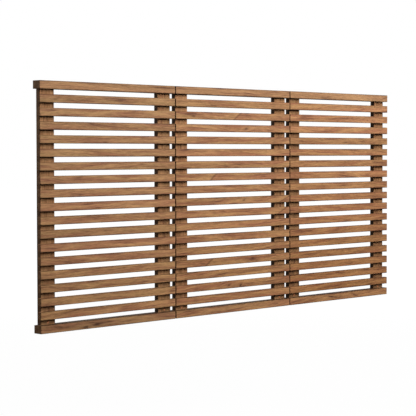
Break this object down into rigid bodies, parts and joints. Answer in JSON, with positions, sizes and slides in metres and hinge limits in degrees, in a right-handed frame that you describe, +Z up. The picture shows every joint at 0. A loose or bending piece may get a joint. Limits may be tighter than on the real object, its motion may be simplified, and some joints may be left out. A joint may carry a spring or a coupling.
{
  "type": "slatted headboard",
  "caption": "Wall-hung slatted wooden headboard: ladder-frame panels side by side with horizontal slats, hung on keyhole plates and joined behind.",
  "frame": {"origin": "on the wall plane, in the middle of the back of the centre panel's bottom rail", "axes": "+X along the headboard, to the right as seen from the room; +Y into the wall; +Z up"},
  "size_m": [2.03, 0.04, 0.912],
  "materials": {
    "slat_wood": "oiled walnut tone, satin",
    "rail_wood": "oiled walnut tone, satin",
    "post_wood": "oiled walnut tone, satin",
    "plug_wood": "red-brown, satin",
    "plate_steel": "zinc plated",
    "screw_steel": "zinc plated"
  },
  "bodies": {
    "root": {"centre_panel_bottom_rail": "rail_wood", "centre_panel_hanger_plates": "plate_steel", "centre_panel_left_post": "post_wood", "centre_panel_right_post": "post_wood", "centre_panel_slat_01": "slat_wood", "centre_panel_slat_02": "slat_wood", "centre_panel_slat_03": "slat_wood", "centre_panel_slat_04": "slat_wood", "centre_panel_slat_09": "slat_wood", "centre_panel_slat_14": "slat_wood", "centre_panel_slat_15": "slat_wood", "centre_panel_slat_16": "slat_wood", "centre_panel_slat_17": "slat_wood", "centre_panel_slats_05_06": "slat_wood", "centre_panel_slats_07_08": "slat_wood", "centre_panel_slats_10_11": "slat_wood", "centre_panel_slats_12_13": "slat_wood", "centre_panel_top_rail": "rail_wood", "centre_to_right_joining_plates": "plate_steel", "fixing_hole_plugs": "plug_wood", "hanger_plate_screws": "screw_steel", "joining_plate_screws": "screw_steel", "left_panel_bottom_rail": "rail_wood", "left_panel_hanger_plates": "plate_steel", "left_panel_left_post": "post_wood", "left_panel_right_post": "post_wood", "left_panel_slat_01": "slat_wood", "left_panel_slat_02": "slat_wood", "left_panel_slat_03": "slat_wood", "left_panel_slat_04": "slat_wood", "left_panel_slat_09": "slat_wood", "left_panel_slat_14": "slat_wood", "left_panel_slat_15": "slat_wood", "left_panel_slat_16": "slat_wood", "left_panel_slat_17": "slat_wood", "left_panel_slats_05_06": "slat_wood", "left_panel_slats_07_08": "slat_wood", "left_panel_slats_10_11": "slat_wood", "left_panel_slats_12_13": "slat_wood", "left_panel_top_rail": "rail_wood", "left_to_centre_joining_plates": "plate_steel", "right_panel_bottom_rail": "rail_wood", "right_panel_hanger_plates": "plate_steel", "right_panel_left_post": "post_wood", "right_panel_right_post": "post_wood", "right_panel_slat_01": "slat_wood", "right_panel_slat_02": "slat_wood", "right_panel_slat_03": "slat_wood", "right_panel_slat_04": "slat_wood", "right_panel_slat_09": "slat_wood", "right_panel_slat_14": "slat_wood", "right_panel_slat_15": "slat_wood", "right_panel_slat_16": "slat_wood", "right_panel_slat_17": "slat_wood", "right_panel_slats_05_06": "slat_wood", "right_panel_slats_07_08": "slat_wood", "right_panel_slats_10_11": "slat_wood", "right_panel_slats_12_13": "slat_wood", "right_panel_top_rail": "rail_wood"}
  },
  "joints": []
}
